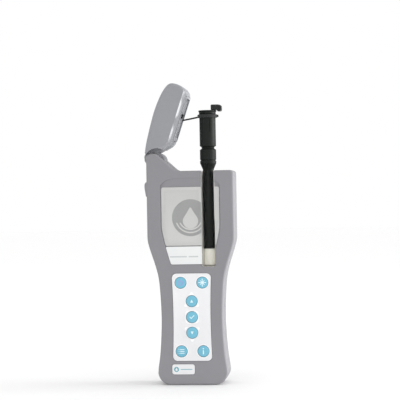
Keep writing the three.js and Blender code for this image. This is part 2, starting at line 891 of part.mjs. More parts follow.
CELL.xs.forEach((x, i) => {
  piece(meter, `battery_cell_${i + 1}`, batteryCell(x), "cell");
  piece(meter, `battery_spring_${i + 1}`, batterySpring(x), "steel");
});
piece(meter, "battery_tray", batteryTray(), "black");
piece(meter, "battery_contact", batteryContact(), "steel");
piece(meter, "battery_door", batteryDoor(), "shell");

const lid = new THREE.Group();
const pivot = [HINGE.x, 0, HINGE.z];
lid.position.set(...pivot);
lid.rotation.y = -THREE.MathUtils.degToRad(HINGE.open);
meter.add(lid);
piece(lid, "lid_shell", lidShell(), "shell", pivot);
piece(lid, "lid_liner", lidLiner(), "liner", pivot);
piece(lid, "lid_seal", lidSeal(), "rubber", pivot);
piece(lid, "tether_anchor", tetherAnchor(), "rubber", pivot);

piece(meter, "tether_band", tetherBand(), "rubber");
piece(meter, "tether_strap", tetherStrap(), "rubber");

piece(meter, "probe_tube", probeTube(), "black");
piece(meter, "probe_cap", probeCap(), "black");
piece(meter, "pull_tab", pullTab(), "rubber");
piece(meter, "light_guide", lightGuide(), "clear");
piece(meter, "clear_tip", clearTip(), "clear");

export default meter;
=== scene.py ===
"""Looks of the hand-held water quality meter and its dip probe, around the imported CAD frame.

Lengths in this file are millimetres until a mesh is made, and the mesh is in metres.
"""

import math

import bmesh
import bpy
from mathutils import Matrix, Vector


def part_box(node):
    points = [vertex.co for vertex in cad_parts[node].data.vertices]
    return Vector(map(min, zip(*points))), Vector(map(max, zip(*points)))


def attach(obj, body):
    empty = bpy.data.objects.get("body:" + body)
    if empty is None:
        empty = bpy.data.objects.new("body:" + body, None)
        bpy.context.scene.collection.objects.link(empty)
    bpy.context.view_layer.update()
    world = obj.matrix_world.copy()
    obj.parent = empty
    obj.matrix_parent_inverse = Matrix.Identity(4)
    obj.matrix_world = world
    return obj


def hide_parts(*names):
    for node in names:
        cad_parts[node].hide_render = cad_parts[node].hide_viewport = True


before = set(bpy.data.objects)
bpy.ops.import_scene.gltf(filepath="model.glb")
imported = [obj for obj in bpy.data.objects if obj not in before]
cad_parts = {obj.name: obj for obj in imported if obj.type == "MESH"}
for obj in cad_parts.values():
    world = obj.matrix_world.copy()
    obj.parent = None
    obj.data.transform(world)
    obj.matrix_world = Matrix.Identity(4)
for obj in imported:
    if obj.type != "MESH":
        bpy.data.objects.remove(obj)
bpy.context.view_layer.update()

MM = 0.001
SCENE = bpy.context.scene


def node_box(node):
    """Lowest and highest corner of a CAD node, in millimetres."""
    low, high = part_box(node)
    return low / MM, high / MM


def middle(node):
    """The centre of a CAD node's box, as (x, z)."""
    low, high = node_box(node)
    return (low.x + high.x) / 2, (low.z + high.z) / 2


def add(name, data):
    """A new object in the scene."""
    made = bpy.data.objects.new(name, data)
    SCENE.collection.objects.link(made)
    return made


CASE_LOW, CASE_HIGH = node_box("front_case")[0], node_box("rear_case")[1]
FACE, BACK = CASE_LOW.y, CASE_HIGH.y
HEAD = CASE_HIGH.x  # half the width of the head
PLATE_FRONT = node_box("display_window")[0].y
PROBE_X = middle("probe_tube")[0]
PROBE_AXIS = (PROBE_X, 0)
TUBE_LOW, TUBE_HIGH = (c.z for c in node_box("probe_tube"))

# ---- camera ----------------------------------------------

CAMERA_DISTANCE = 1.15  # metres, as the two below
CAMERA_AIM = Vector((0.0083, FACE * MM, 0.1518))
VIEW_WIDTH = 0.328  # across the picture, at the aim
CAMERA_AZIMUTH, CAMERA_ROLL = math.radians(6.2), math.radians(1)


def add_camera():
    data = bpy.data.cameras.new("camera")
    camera = add("camera", data)
    away = Vector((math.sin(CAMERA_AZIMUTH), -math.cos(CAMERA_AZIMUTH), 0))
    turn = (-away).to_track_quat("-Z", "Y").to_matrix() @ Matrix.Rotation(-CAMERA_ROLL, 3, "Z")
    camera.matrix_world = Matrix.Translation(CAMERA_AIM + away * CAMERA_DISTANCE) @ turn.to_4x4()
    data.lens = data.sensor_width * CAMERA_DISTANCE / VIEW_WIDTH
    data.clip_end = 20
    SCENE.camera = camera
    SCENE.view_settings.view_transform = "Standard"


add_camera()

# ---- outlines in the XZ plane, anticlockwise as seen from the front 

def arc(x, z, radius, start, end, steps):
    angles = [math.radians(start + (end - start) * i / steps) for i in range(steps + 1)]
    return [(x + radius * math.cos(a), z + radius * math.sin(a)) for a in angles]


def rounded(x0, x1, z0, z1, radius, steps=8):
    x0, x1, z0, z1 = x0 + radius, x1 - radius, z0 + radius, z1 - radius
    corners = ((x1, z0, -90), (x1, z1, 0), (x0, z1, 90), (x0, z0, 180))
    return [p for x, z, turn in corners for p in arc(x, z, radius, turn, turn + 90, steps)]


def mirrored(points):
    return [(-x, z) for x, z in reversed(points)]


def in_turn(outline):
    """Each corner of an outline, between the one before it and the one after."""
    path = [Vector(p) for p in outline]
    return zip(path[-1:] + path, path, path[1:] + path[:1])


def inset(outline, distance):
    """Each edge of the outline moved inwards."""
    moved = []
    for before, p, after in in_turn(outline):
        a, b = (p - before).normalized(), (after - p).normalized()
        side = Vector((-a.y - b.y, a.x + b.x))
        moved.append(tuple(p + side * (2 * distance / side.length_squared)))
    return moved


def spline(points, steps, ends=None):
    """A Catmull-Rom curve through the points, with `steps` pieces between each two."""
    first, last = ends or (points[0], points[-1])
    path = [Vector(p) for p in (first, *points, last)]
    made = []
    for p0, p1, p2, p3 in zip(path, path[1:], path[2:], path[3:]):
        for s in range(steps):
            t = s / steps
            curve = (
                p1
                + (p2 - p0) * (0.5 * t)
                + (2 * p0 - 5 * p1 + 4 * p2 - p3) * (0.5 * t * t)
                + (3 * p1 - p0 - 3 * p2 + p3) * (0.5 * t * t * t)
            )
            made.append(tuple(curve))
    return [*made, tuple(points[-1])]


# ---- meshes ----------------------------------------------

def piece(name, points, faces):
    mesh = bpy.data.meshes.new(name)
    mesh.from_pydata([Vector(p) * MM for p in points], [], faces)
    shape = bmesh.new()
    shape.from_mesh(mesh)
    bmesh.ops.remove_doubles(shape, verts=shape.verts, dist=1e-7)
    bmesh.ops.recalc_face_normals(shape, faces=shape.faces)
    shape.to_mesh(mesh)
    shape.free()
    return add(name, mesh)


def skin(name, rings):
    """Joins rings of points one to the next, and caps both ends."""
    count = len(rings[0])
    points = [p for ring in rings for p in ring]
    last = len(points) - count
    faces = []
    for a in range(0, last, count):
        for i in range(count):
            j = (i + 1) % count
            faces.append((a + i, a + count + i, a + count + j, a + j))
    faces.append(tuple(range(count)))
    faces.append(tuple(reversed(range(last, len(points)))))
    return piece(name, points, faces)


def rounding(radius, steps):
    """(inset, depth) pairs of a quarter round, from the flat face to the side."""
    turns = [math.pi / 2 * i / steps for i in range(steps + 1)]
    return [(radius * (1 - math.sin(a)), radius * (1 - math.cos(a))) for a in turns]


def slab(name, outline, front, back, edge=0.0, rear=None, steps=6):
    """A plate of that outline between two depths, with rounded front and rear edges."""
    rear = edge if rear is None else rear
    levels = [(i, front + d) for i, d in rounding(edge, steps)] if edge else [(0, front)]
    behind = [(i, back - d) for i, d in rounding(rear, steps)] if rear else [(0, back)]
    levels += reversed(behind)
    rings = []
    for distance, depth in levels:
        ring = inset(outline, distance) if distance > 1e-6 else outline
        rings.append([(x, depth, z) for x, z in ring])
    return skin(name, rings)


def cutter(outline, front, back, flare):
    """A slab that cuts, wider by `flare` at its front so that the cut has a chamfer."""
    proud = 3  # how far in front of the face it starts
    rings = [
        [(x, front - proud, z) for x, z in inset(outline, -flare - proud)],
        [(x, front + flare, z) for x, z in outline],
        [(x, back, z) for x, z in outline],
    ]
    return skin("tool", rings)


def turned(name, profile, centre=(0, 0), sides=72, axis="Z"):
    """A turned piece: profile points are (radius, height), from the bottom up."""
    points, faces, rings = [], [], []
    for radius, height in profile:
        around = sides if radius > 1e-6 else 1
        rings.append(range(len(points), len(points) + around))
        for i in range(around):
            a = 2 * math.pi * i / sides
            points.append((radius * math.cos(a), radius * math.sin(a), height))
    for low, high in zip(rings, rings[1:]):
        for i in range(sides):
            j = (i + 1) % sides
            quad = [low[i % len(low)], low[j % len(low)], high[j % len(high)], high[i % len(high)]]
            faces.append(tuple(dict.fromkeys(quad)))
    faces = [f for f in faces if len(f) > 2]
    x, y = centre
    if axis == "Z":
        points = [(px + x, py + y, pz) for px, py, pz in points]
    elif axis == "Y":  # centre is (x, z), height runs towards the front
        points = [(px + x, -pz, py + y) for px, py, pz in points]
    else:  # X: centre is (y, z)
        points = [(pz, px + x, py + y) for px, py, pz in points]
    return piece(name, points, faces)


def bar(centre, radius, y0, y1, sides=64):
    """A round bar along Y, to cut with."""
    return turned("tool", [(0, -y1), (radius, -y1), (radius, -y0), (0, -y0)], centre, sides, "Y")


def block(x0, x1, y0, y1, z0, z1, edge=0.0):
    """A block to cut or to join, with rounded edges if asked."""
    if edge:
        return slab("tool", rounded(x0, x1, z0, z1, edge, 4), y0, y1, edge * 0.9, steps=3)
    return slab("tool", [(x0, z0), (x1, z0), (x1, z1), (x0, z1)], y0, y1)


def combine(made, tools, operation):
    """Applies one Boolean step for each tool, and removes the tools."""
    for tool in tools:
        step = made.modifiers.new("step", "BOOLEAN")
        step.operation = operation
        step.solver = "MANIFOLD"
        step.object = tool
    bpy.context.view_layer.update()
    graph = bpy.context.evaluated_depsgraph_get()
    mesh = bpy.data.meshes.new_from_object(made.evaluated_get(graph))
    made.modifiers.clear()
    old, made.data = made.data, mesh
    bpy.data.meshes.remove(old)
    for tool in tools:
        bpy.data.objects.remove(tool)
    return made


def cut(made, *tools):
    return combine(made, tools, "DIFFERENCE")


def join(made, *tools):
    return combine(made, tools, "UNION")


def polish(made, angle):
    """Smooth shading, with edges sharper than the angle left crisp."""
    clean = bmesh.new()
    clean.from_mesh(made.data)
    bmesh.ops.remove_doubles(clean, verts=clean.verts, dist=1e-6)
    clean.to_mesh(made.data)
    clean.free()
    made.data.shade_smooth()
    made.data.set_sharp_from_angle(angle=math.radians(angle))
    step = made.modifiers.new("normals", "WEIGHTED_NORMAL")
    step.keep_sharp = True
    step.weight = 80


def place(made, body, look, slot, *nodes, angle=32):
    """Finishes a piece: its shading, material and body, and hides the CAD nodes that it stands for;
    the slot is not used.
    """
    polish(made, angle)
    made.data.materials.clear()
    made.data.materials.append(look.mat)
    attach(made, body)
    if nodes:
        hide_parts(*nodes)


# ---- materials -------------------------------------------

def srgb(*rgb):
    parts = [c / 255 for c in rgb]
    return (*(c / 12.92 if c <= 0.04045 else ((c + 0.055) / 1.055) ** 2.4 for c in parts), 1)


def shade(colour, factor):
    return tuple(min(c * factor, 1) for c in colour[:3]) + (1,)


class Look:
    """A material, its Principled shader, and short ways to add nodes to it."""

    def __init__(self, name, **numbers):
        self.mat = bpy.data.materials.new(name)
        self.mat.use_nodes = True
        self.tree = self.mat.node_tree
        self.shader = self.tree.nodes["Principled BSDF"]
        self.coords = self.node("ShaderNodeTexCoord").outputs["Object"]
        for key, value in numbers.items():
            self.shader.inputs[key.replace("_", " ")].default_value = value

    def node(self, kind, _settings=None, **inputs):
        made = self.tree.nodes.new(kind)
        for key, value in (_settings or {}).items():
            setattr(made, key, value)
        for key, value in inputs.items():
            self.feed(made.inputs[key.replace("_", " ")], value)
        return made

    def feed(self, socket, value):
        if isinstance(value, bpy.types.NodeSocket):
            self.tree.links.new(value, socket)
        else:
            socket.default_value = value

    def drive(self, name, value):
        self.feed(self.shader.inputs[name], value)

    def driven(self, name):
        return self.shader.inputs[name].links[0].from_socket

    def paint(self, colour):
        self.drive("Base Color", colour)

    def rough(self, value, low, high):
        self.drive("Roughness", self.remap(value, low, high))

    def relief(self, *bump):
        self.drive("Normal", self.bump(*bump))

    def stretched(self, scale):
        return self.node("ShaderNodeMapping", Vector=self.coords, Scale=scale).outputs[0]

    def noise(self, scale, detail=3.0, roughness=0.55, vector=None, distortion=0.0):
        numbers = {"Scale": scale, "Detail": detail, "Roughness": roughness}
        vector = vector or self.coords
        made = self.node("ShaderNodeTexNoise", Vector=vector, Distortion=distortion, **numbers)
        return made.outputs[0]

    def remap(self, value, low, high, start=0.35, end=0.65):
        """From `low` where the value is `start` to `high` where it is `end`."""
        numbers = {"From_Min": start, "From_Max": end, "To_Min": low, "To_Max": high}
        return self.node("ShaderNodeMapRange", Value=value, **numbers).outputs[0]

    def mix(self, factor, a, b, blend="MIX"):
        made = self.node("ShaderNodeMix", {"data_type": "RGBA", "blend_type": blend})
        for socket, value in ((0, factor), (6, a), (7, b)):
            self.feed(made.inputs[socket], value)
        return made.outputs[2]

    def times(self, a, b):
        made = self.node("ShaderNodeMath", {"operation": "MULTIPLY"}, Value=a)
        self.feed(made.inputs[1], b)
        return made.outputs[0]

    def part(self, vector, axis):
        return self.node("ShaderNodeSeparateXYZ", Vector=vector).outputs[axis]

    def height(self):
        return self.part(self.coords, 2)

    def bump(self, value, distance, strength=1.0, normal=None):
        made = self.node("ShaderNodeBump", Height=value, Distance=distance, Strength=strength)
        if normal is not None:
            self.feed(made.inputs["Normal"], normal)
        return made.outputs[0]


def moulded(name, colour, rough, grain=0.00003, spread=0.05, **numbers):
    """Moulded plastic: soft mottling, speckle, fine spark-eroded grain and uneven sheen."""
    look = Look(name, **numbers)
    cloud = look.remap(look.noise(38, 4), 0, 1, 0.3, 0.7)
    speck = look.remap(look.noise(2600, 2), 0, 1, 0.25, 0.75)
    soft = look.mix(cloud, shade(colour, 1 - spread), shade(colour, 1 + spread))
    specks = look.mix(speck, shade(colour, 0.86), shade(colour, 1.14))
    look.paint(look.mix(0.25, soft, specks))
    look.rough(look.noise(65, 5), rough - 0.06, rough + 0.06)
    fine = look.bump(look.noise(2400, 3, 0.6), grain, 0.9)
    look.relief(look.noise(260, 2), grain * 2, 0.5, fine)
    return look


MOUTH_WAY = (0.9483, 0, -0.3173)  # the way the open lid's mouth faces


def painted_glint_mask(look, strength):
    """A mask of broken painted highlight marks on the slanted facet along the lid's mouth, near the
    lid's side: painted glints off the facet's edge.
    """
    dot = look.node("ShaderNodeVectorMath", {"operation": "DOT_PRODUCT"}, Vector=look.coords)
    dot.inputs[1].default_value = MOUTH_WAY
    reach = dot.outputs["Value"]
    strip = look.times(
        look.remap(reach, 0, 1, -0.0811, -0.0805), look.remap(reach, 1, 0, -0.0795, -0.0783)
    )
    facing = look.part(look.node("ShaderNodeNewGeometry").outputs["True Normal"], 1)
    tilt = look.node("ShaderNodeMath", {"operation": "ABSOLUTE"}, Value=facing).outputs[0]
    facet = look.times(look.remap(tilt, 0, 1, 0.82, 0.86), look.remap(tilt, 1, 0, 0.92, 0.96))
    cloud = look.noise(120, 3, vector=look.stretched((1, 1, 0.5)))
    patchy = look.remap(cloud, 0.0, strength, 0.44, 0.58)
    return look.times(look.times(facet, strip), patchy)


def shell_look(name, colour, glint_strength=0.0):
    """Mid grey housing plastic, a little rubbed low on the grip, with painted light that lightens
    its foot.
    """
    look = moulded(name, colour, 0.56, 0.000035, 0.02, Specular_IOR_Level=0.42)
    base = look.driven("Base Color")
    patch = look.remap(look.noise(17, 6, 0.6), 0, 1, 0.48, 0.74)
    rub = look.times(patch, look.remap(look.height(), 0.5, 0.1, 0.0, 0.17))
    rubbed = look.mix(rub, base, shade(colour, 1.1))
    # Painted light: the shell is made lighter towards its foot to make up for the shade near the
    # floor.
    foot = look.remap(look.height(), 0.8, 0.0, 0.0, 0.06)
    plain = look.mix(foot, rubbed, shade(colour, 1.16))
    if glint_strength:
        # Painted highlight: near-white glint marks mixed into the lid's colour on its mouth facet.
        plain = look.mix(painted_glint_mask(look, glint_strength), plain, srgb(240, 241, 243))
    look.paint(plain)
    return look


def film_look(name, colour, rough=0.42):
    """Printed polyester film: smooth, satin, with faint orange peel."""
    look = Look(name, Coat_Weight=0.15, Coat_Roughness=0.25)
    cloud = look.remap(look.noise(30, 3), 0, 1)
    look.paint(look.mix(cloud, shade(colour, 0.975), shade(colour, 1.015)))
    look.rough(look.noise(120, 4), rough - 0.05, rough + 0.05)
    look.relief(look.noise(900, 2), 0.000008, 0.6)
    return look


def key_look():
    """Translucent blue silicone with a soft bloom."""
    sheen = {"Sheen_Weight": 0.15, "Sheen_Roughness": 0.4}
    return moulded("key_silicone", srgb(116, 188, 212), 0.5, 0.00002, 0.03, **sheen)


def rubber_look(name, colour):
    sheen = {"Sheen_Weight": 0.12, "Sheen_Roughness": 0.5}
    return moulded(name, colour, 0.75, 0.00005, 0.08, **sheen)


def probe_look():
    """Black ABS with faint draw lines along the tube and a little dust."""
    colour = srgb(21, 25, 22)
    look = moulded("probe_abs", colour, 0.5, 0.00002, 0.06, Specular_IOR_Level=0.2)
    base, normal = look.driven("Base Color"), look.driven("Normal")
    lines = look.remap(look.noise(900, 3, vector=look.stretched((1, 1, 0.02))), 0, 1, 0.3, 0.7)
    dust = look.remap(look.noise(1400, 4), 0, 0.5, 0.62, 0.8)
    streaked = look.mix(look.times(lines, 0.35), base, shade(colour, 1.35))
    look.paint(look.mix(dust, streaked, srgb(54, 57, 54)))
    look.relief(lines, 0.00002, 0.4, normal)
    return look


def clear_look():
    """Warm milky plastic with flow lines, and a faint emission of its own, painted light that lifts
    it out of the shade of its slot.
    """
    colour = srgb(252, 250, 240)
    painted_glow = {"Emission_Strength": 0.14, "Emission_Color": (1, 0.99, 0.93, 1)}
    look = Look("clear_styrene", Transmission_Weight=0.04, IOR=1.49, **painted_glow)
    cloud = look.noise(160, 4, vector=look.stretched((1, 1, 0.25)), distortion=0.4)
    flow = look.remap(cloud, 0, 1)
    look.paint(look.mix(flow, shade(colour, 0.96), shade(colour, 1.02)))
    look.rough(look.noise(300, 3), 0.12, 0.26)
    look.relief(flow, 0.00004, 0.5)
    return look


def pane_look():
    """Hard-coated clear window, see-through, with faint wipe marks."""
    look = Look("window_pane", Base_Color=(0.03, 0.035, 0.035, 1), Alpha=0.05, IOR=1.49)
    wipe = look.noise(60, 4, vector=look.stretched((1, 1, 0.35)), distortion=0.6)
    look.rough(wipe, 0.06, 0.16)
    look.relief(look.noise(45, 2), 0.00002, 0.25)
    return look


def lcd_look():
    """Reflective display glass: a fine dot grid under a slow light falloff."""
    low, high = (c.z * MM for c in node_box("lcd_module"))
    look = Look("lcd_glass", Coat_Weight=0.3, Coat_Roughness=0.12)
    fade = look.remap(look.height(), 0, 1, low, high)
    base = look.mix(fade, srgb(223, 223, 221), srgb(213, 213, 211))
    upright = look.node("ShaderNodeMapping", Vector=look.coords, Rotation=(math.pi / 2, 0, 0))
    sizes = {"Scale": 1.0, "Brick_Width": 0.00045, "Row_Height": 0.00045, "Mortar_Size": 0.00004}
    greys = zip(("Color1", "Color2", "Mortar"), (1, 0.985, 0.9))
    tones = {name: (grey, grey, grey, 1) for name, grey in greys}
    grid = look.node(
        "ShaderNodeTexBrick", {"offset": 0.0}, Vector=upright.outputs[0], **sizes, **tones
    )
    look.paint(look.mix(1.0, base, grid.outputs[0], "MULTIPLY"))
    look.rough(look.noise(90, 3), 0.3, 0.42)
    return look


def steel_look():
    """Nickel-plated steel with fine scratches."""
    look = Look("plated_steel", Metallic=1.0)
    scratch = look.noise(1800, 3, vector=look.stretched((1, 0.12, 1)))
    worn = look.remap(scratch, 0, 1)
    look.paint(look.mix(worn, srgb(176, 178, 180), srgb(214, 215, 216)))
    look.rough(scratch, 0.24, 0.42)
    look.relief(scratch, 0.00001, 0.5)
    return look


def board_look():
    """Green solder mask over copper tracks."""
    look = Look("solder_mask", Coat_Weight=0.3, Coat_Roughness=0.2)
    cells = {"feature": "DISTANCE_TO_EDGE"}
    tracks = look.node("ShaderNodeTexVoronoi", cells, Vector=look.coords, Scale=260)
    line = look.remap(tracks.outputs[0], 0, 1, 0.05, 0.08)
    green = look.mix(line, srgb(74, 132, 88), srgb(32, 92, 58))
    look.paint(look.mix(look.remap(look.noise(300), 0, 0.3), green, srgb(26, 70, 46)))
    look.rough(look.noise(400, 2), 0.32, 0.45)
    look.relief(line, 0.00003, 0.6)
    return look


def cell_look():
    """Battery wrap: two plain bands of film, a little creased."""
    top = node_box("battery_cell_1")[1].z * MM
    look = Look("cell_wrap", Coat_Weight=0.4, Coat_Roughness=0.15)
    band = look.remap(look.height(), 0, 1, top - 0.0162, top - 0.0158)
    cap = look.remap(look.height(), 0, 1, top - 0.0016, top - 0.0014)
    colour = look.mix(band, srgb(44, 58, 92), srgb(188, 142, 70))
    look.paint(look.mix(cap, colour, srgb(190, 190, 188)))
    look.rough(look.noise(200, 4), 0.25, 0.4)
    look.relief(look.noise(120, 3), 0.00003, 0.4)
    return look


SHELL = shell_look("shell_plastic", srgb(138, 137, 141))
# The lid is the shell's plastic, painted a little lighter as painted light from above, and it
# carries painted highlight glints.
LID_SHELL_PAINTED_LIGHT = shell_look("lid_plastic_painted_light", srgb(146, 147, 151), 0.75)
LINER = moulded("liner_plastic", srgb(218, 219, 222), 0.6, 0.00004)
MASK = film_look("display_border", srgb(214, 214, 212), 0.4)
WHITE = film_look("panel_film", srgb(236, 236, 238))
PRINT = film_look("white_print", srgb(252, 252, 253), 0.5)
SYMBOL = film_look("key_print", srgb(224, 243, 248), 0.5)
VIOLET = film_look("power_print", srgb(152, 166, 216), 0.5)
LABEL = film_look("label_film", srgb(231, 233, 233), 0.35)
GREY_PRINT = film_look("display_graphic", srgb(166, 167, 166), 0.4)
RULE = film_look("label_print", srgb(200, 203, 203), 0.45)
TEAL_PRINT = film_look("plate_print", srgb(120, 178, 190), 0.45)
PANE = pane_look()
LCD = lcd_look()
KEY = key_look()
RUBBER = rubber_look("black_rubber", srgb(23, 26, 24))
GREY_RUBBER = rubber_look("grey_rubber", srgb(150, 151, 155))
BLACK = moulded("black_plastic", srgb(50, 52, 51), 0.55)
PROBE_BLACK = probe_look()
CLEAR = clear_look()
WELL_PLASTIC = moulded("well_plastic", srgb(249, 248, 243), 0.45)
STEEL = steel_look()
BOARD = board_look()
CELL = cell_look()

# ---- case ------------------------------------------------

GRIP = [  # height, half-width
    (0, 19), (2.3, 24.8), (7.6, 28.3), (13, 28.6), (24, 27.1), (38, 26), (54, 25.4), (70, 25.8),
    (87, 27.1), (99, 29.9), (111, 33.8), (119, 35.8), (127, 36),
]
DECK = 176  # height of the case's top
CASE_EDGE, LID_EDGE = 1.6, 2.4  # radius of the rounded edges
WALL = 2.2
PARTING = 0.15  # half the gap between the front and rear halves
HINGE_X, HINGE_Z = HINGE = (-27.3, 184.8)
HINGE_SLOT = 9.4  # half the width of the slot for the lid's barrel
BARREL = 6.4  # its radius
PIN_BORE = 1.8
EAR_TOP, EAR_LEFT, EAR_RIGHT = 190.7, -27.8, -11.9
WELL_OUTER = 8.9
THROUGH = (-20, -10)  # depths of a tool that cuts through the front of the case


def grip_side():
    curve = spline([(half, height) for height, half in GRIP], 7)
    return [(min(half, HEAD), height) for half, height in curve]


def case_outline(ear=True):
    side = grip_side()
    right = arc(HEAD - 2.8, DECK - 2.8, 2.8, 0, 90, 10)
    foot = [(EAR_RIGHT + x, DECK + z) for x, z in ((3.4, 0), (1.2, 0.35), (-1.2, 1.5))]
    brow = [(EAR_LEFT + x, EAR_TOP - z) for x, z in ((0.8, 0.75), (-0.3, 0.1), (-1.6, 0))]
    hinge_ear = foot + brow + arc(-HEAD + 4.2, EAR_TOP - 4.2, 4.2, 90, 180, 10)
    return side + right + (hinge_ear if ear else [(-HEAD, DECK)]) + mirrored(side)


def case_body():
    body = slab("case", case_outline(), FACE, BACK, CASE_EDGE, steps=8)
    inner = slab("tool", inset(case_outline(False), WALL), FACE + WALL, BACK - WALL)
    barrel = bar(HINGE, BARREL + 0.8, -HINGE_SLOT, HINGE_SLOT, 72)
    behind = block(-60, HINGE_X, -HINGE_SLOT, HINGE_SLOT, EAR_TOP - 12.6, EAR_TOP + 20)
    rim, seat = 0.5, WELL_OUTER + 1.2  # chamfer and seat round the well's mouth
    well = turned(
        "tool",
        [(0, 150), (WELL_OUTER, 150), (WELL_OUTER, DECK - 1), (seat, DECK - 1),
         (seat, DECK - rim), (seat + rim + 4, DECK + 4), (0, DECK + 4)],
        PROBE_AXIS, sides=96,
    )
    pin = bar(HINGE, PIN_BORE, -13.5, 20, 72)
    low, high = node_box("port_cover")
    port = block(
        -HEAD - 1, -HEAD + WALL + 1, low.y + 1.3, high.y - 1.3, low.z + 1.1, high.z - 1.1
    )
    return cut(body, inner, barrel, behind, well, pin, port)


LOW_WINDOW, SPLIT, HIGH_WINDOW = 99.1, 114, 162.9  # foot of the label, of the display, and top
BEND, HALF_WINDOW, FOOT_HALF = 130, 24.2, 16.5  # half-width above the bend, and at the foot
SCOOP_TOP, SCOOP_DEPTH = 170, 1.3
SIGHT_LEFT, SIGHT_RIGHT, SIGHT_LOW = 9, 20.2, 96.9  # the slot over the probe
PANEL_LOW, PANEL_HIGH = 19.9, 91.7
PANEL_HALF, PANEL_WAIST = 16.3, 15.3  # half-width at its ends, and at its middle
KEYS = ["key_power", "key_light", "key_up", "key_enter", "key_down", "key_program", "key_info"]
KEY_RADIUS = 4.6
KEY_HOLE = KEY_RADIUS + 0.35
SCREWS = [f"case_screw_{i}" for i in range(1, 6)]


def window_half(z):
    if z >= BEND:
        return HALF_WINDOW
    down = (BEND - z) / (BEND - LOW_WINDOW)
    return HALF_WINDOW - (HALF_WINDOW - FOOT_HALF) * down**1.3


def window_outline(low, high, margin, corner=1.5, steps=24):
    foot, brow = (window_half(z) - margin - corner for z in (low + corner, high))
    rows = [low + corner + (high - low - 2 * corner) * i / steps for i in range(steps + 1)]
    right = arc(foot, low + corner, corner, -90, -20, 5)
    right += [(window_half(z) - margin, z) for z in rows]
    right += arc(brow, high - corner, corner, 12, 90, 6)
    return right + mirrored(right)


def scoop_outline():
    edge = HALF_WINDOW + 0.3
    p = [(edge, HIGH_WINDOW + 1.5), (HALF_WINDOW - 5, SCOOP_TOP), (HALF_WINDOW - 9, SCOOP_TOP)]
    p.append((0, SCOOP_TOP))
    brow = []
    for i in range(25):
        t = i / 24
        w = ((1 - t) ** 3, 3 * t * (1 - t) ** 2, 3 * t * t * (1 - t), t**3)
        brow.append(tuple(sum(k * q[a] for k, q in zip(w, p)) for a in (0, 1)))
    return [(-edge, HIGH_WINDOW - 6), (edge, HIGH_WINDOW - 6), *brow, *mirrored(brow)[1:]]


def panel_outline(margin):
    """A rounded rectangle with its long sides drawn in at the waist."""
    low, high, half = PANEL_LOW, PANEL_HIGH, PANEL_HALF - margin
    centre, span = (high + low) / 2, (high - low) / 2
    box = rounded(-half, half, low + margin, high - margin, 4 - min(margin, 0))
    side = [(half, centre + i / 10 * (span - 5)) for i in range(-10, 11)]
    made = []
    for x, z in (*box[:9], *side, *box[9:27], *mirrored(side), *box[27:]):
        drawn_in = (PANEL_HALF - PANEL_WAIST) * max(0, 1 - ((z - centre) / span) ** 2)
        made.append((x - math.copysign(drawn_in, x), z))
    return made


def sight_outline(top, margin):
    r, low = 1.6, SIGHT_LOW + margin
    left, right = SIGHT_LEFT + margin, SIGHT_RIGHT - margin
    foot = arc(right - r, low + r, r, -90, 0, 6)
    return [*foot, (right, top), (left, top), *arc(left + r, low + r, r, 180, 270, 6)]


def printed(name, outlines, front, back):
    """Flat print of one or more shapes."""
    made = slab(name, outlines[0], front, back)
    if len(outlines) > 1:
        join(made, *[slab("tool", o, front, back) for o in outlines[1:]])
    return made


def half_space(y0, y1):
    return block(-80, 80, y0, y1, -20, 280)


def scoop_cutter():
    """The brow above the display slopes in from a fine step at its top."""
    step, low = 0.3, HIGH_WINDOW - 8
    profile = [(-3, low), (SCOOP_DEPTH, low), (SCOOP_DEPTH, HIGH_WINDOW + 0.6),
               (SCOOP_DEPTH * 0.75, HIGH_WINDOW + 2.2), (step, SCOOP_TOP - 0.4),
               (step, SCOOP_TOP + 2), (-3, SCOOP_TOP + 2)]
    wedge = skin("tool", [[(x, FACE + y, z) for y, z in profile] for x in (-60, 60)])
    outline = cutter(scoop_outline(), FACE, FACE + SCOOP_DEPTH, 0.15)
    return combine(wedge, [outline], "INTERSECT")


def build_case():
    front = case_body()
    rear = add("case_rear_shell", front.data.copy())
    cut(front, half_space(-PARTING, 60))
    front.name = "case_front_shell"
    plate = rounded(-17.3, 1.9, 8.5, 17.4, 2.1)
    window = window_outline(LOW_WINDOW, HIGH_WINDOW, 0)
    cut(
        front,
        scoop_cutter(),
        cutter(inset(window, -0.3), FACE, FACE + SCOOP_DEPTH, 0.3),
        slab("tool", window_outline(SPLIT + 2, HIGH_WINDOW - 2, 2), *THROUGH),
        slab("tool", sight_outline(DECK + 4, 0), -20, -4),
        cutter(panel_outline(-0.3), FACE, FACE + 0.6, 0.2),
        cutter(plate, FACE, FACE + 0.6, 0.2),
        *[bar(middle(k), KEY_HOLE, *THROUGH) for k in KEYS],
    )
    place(front, "case", SHELL, "shell", "front_case")

    cut(rear, half_space(-60, PARTING))
    low, high = node_box("battery_door")
    door = rounded(low.x - 0.3, high.x + 0.3, low.z - 0.35, high.z + 0.3, 3.3)
    bores = []
    for name in SCREWS:
        profile = [(0, -20), (3.3, -20), (3.3, -BACK - 0.01), (2.9, -BACK + 0.4),
                   (2.9, -BACK + 1.9), (1.6, -BACK + 1.9), (1.6, 0), (0, 0)]
        bores.append(turned("tool", profile, middle(name), 48, "Y"))
    cut(rear, slab("tool", door, BACK - WALL - 1, BACK + 2), *bores)
    place(rear, "case", SHELL, "shell", "rear_case")


build_case()

# ---- display ---------------------------------------------

def drop_outline(x, z, radius, steps=40):
    """A plain water drop: round below, pointed above."""
    points = []
    for i in range(steps):
        a = 2 * math.pi * i / steps - math.pi / 2
        lift = max(0.0, math.sin(a)) ** 3
        across, up = radius * (1 - 0.55 * lift), radius * (1 + 0.75 * lift)
        points.append((x + across * math.cos(a), z + up * math.sin(a)))
    return points


def circle(x, z, radius, steps=96):
    return arc(x, z, radius, 0, 360 * (1 - 1 / steps), steps - 1)


